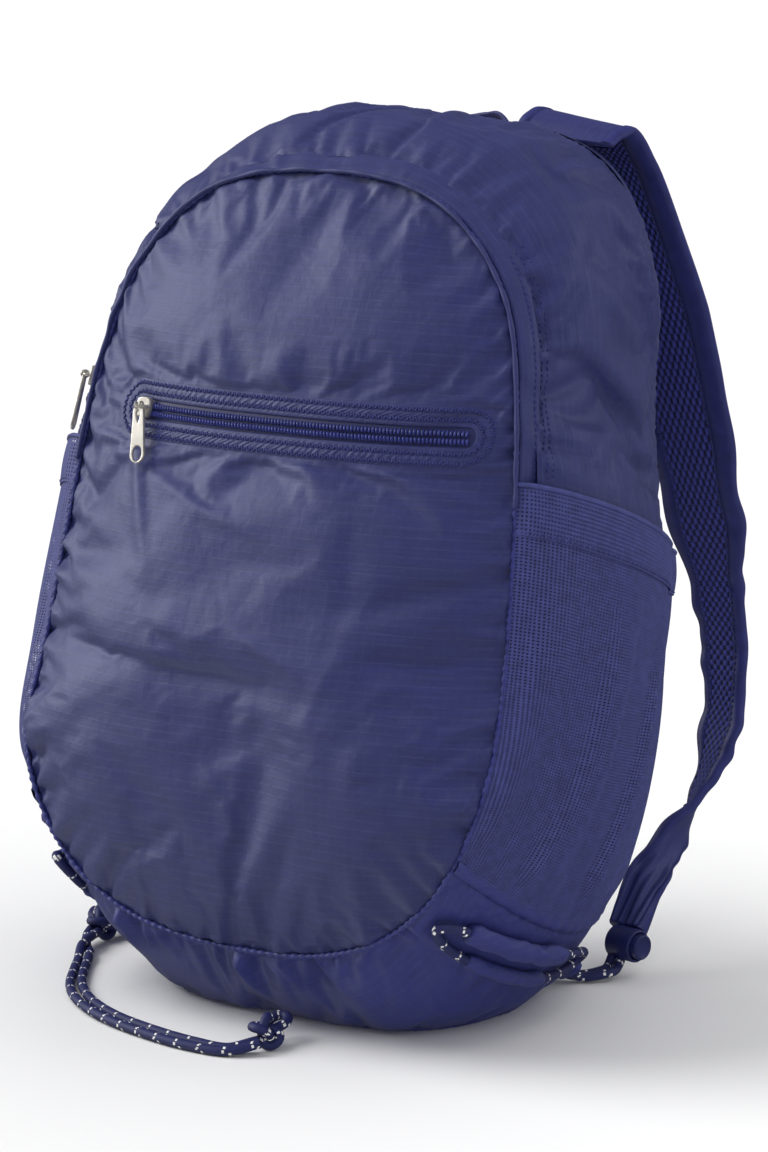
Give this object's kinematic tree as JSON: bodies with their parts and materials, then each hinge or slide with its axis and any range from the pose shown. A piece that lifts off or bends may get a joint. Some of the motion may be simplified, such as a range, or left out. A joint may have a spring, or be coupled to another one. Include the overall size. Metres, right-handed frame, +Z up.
{
  "type": "backpack",
  "caption": "Soft packable daypack, stuffed, with arched zip opening, front zip pocket, mesh side pockets, cord-lock shoulder straps and a knotted cord end.",
  "frame": {"origin": "bottom centre of the pack's box on the floor, without the free cord end", "axes": "+Z up, the front panel faces -Y, +X is the right side seen from the front"},
  "size_m": [0.3497, 0.3362, 0.4614],
  "materials": {
    "nylon": "satin ripstop nylon",
    "net": "square knitted mesh",
    "strap": "nylon outside, spacer mesh inside",
    "webbing": "woven webbing",
    "cord": "braided cord with white tracer",
    "zip": "nylon coil and tape",
    "plastic": "moulded, fine satin",
    "metal": "pale nickel plate"
  },
  "bodies": {
    "pack": {"front_panel": "nylon", "gusset": "nylon", "base": "nylon", "back_panel": "nylon", "zip_flap": "nylon", "main_zip": "zip", "front_piping": "nylon", "pocket_zip_tape": "zip", "pocket_zip_coil": "zip", "pocket_zip_slider": "metal", "main_zip_slider": "metal", "haul_loop": "webbing", "right_mesh_pocket": "net", "right_pocket_hem": "net", "right_strap": "strap", "right_strap_cord": "cord", "right_toggle_barrel": "plastic", "right_corner_tab": "nylon", "right_side_cord": "cord", "right_cord_tunnel": "nylon", "left_mesh_pocket": "net", "left_pocket_hem": "net", "left_strap": "strap", "left_strap_cord": "cord", "left_toggle_barrel": "plastic", "left_corner_tab": "nylon", "left_side_cord": "cord", "left_cord_tunnel": "nylon", "tail_lead_a": "cord", "tail_lead_b": "cord", "tail_cord_a": "cord", "tail_cord_b": "cord", "knot_near": "cord", "knot_far": "cord"},
    "pocket_pull": {"pocket_zip_pull": "metal"},
    "main_pull": {"main_zip_pull": "metal"},
    "right_button": {"right_toggle_button": "plastic"},
    "left_button": {"left_toggle_button": "plastic"}
  },
  "joints": [
    {"name": "pocket_pull_swing", "type": "hinge", "parent": "pack", "child": "pocket_pull", "pos_m": [-0.079, -0.11488, 0.31149], "axis": [-1, 0, 0], "range_deg": [0, 165]},
    {"name": "main_pull_swing", "type": "hinge", "parent": "pack", "child": "main_pull", "pos_m": [-0.14148, -0.07973, 0.31878], "axis": [-0.4595, 0.8793, -0.1255], "range_deg": [0, 165]},
    {"name": "right_lock_press", "type": "slide", "parent": "pack", "child": "right_button", "axis": [-0.9801, 0.1987, 0], "range_m": [0, 0.0027], "stiffness_N_per_m": 500},
    {"name": "left_lock_press", "type": "slide", "parent": "pack", "child": "left_button", "axis": [0.9801, 0.1987, 0], "range_m": [0, 0.0027], "stiffness_N_per_m": 500}
  ]
}
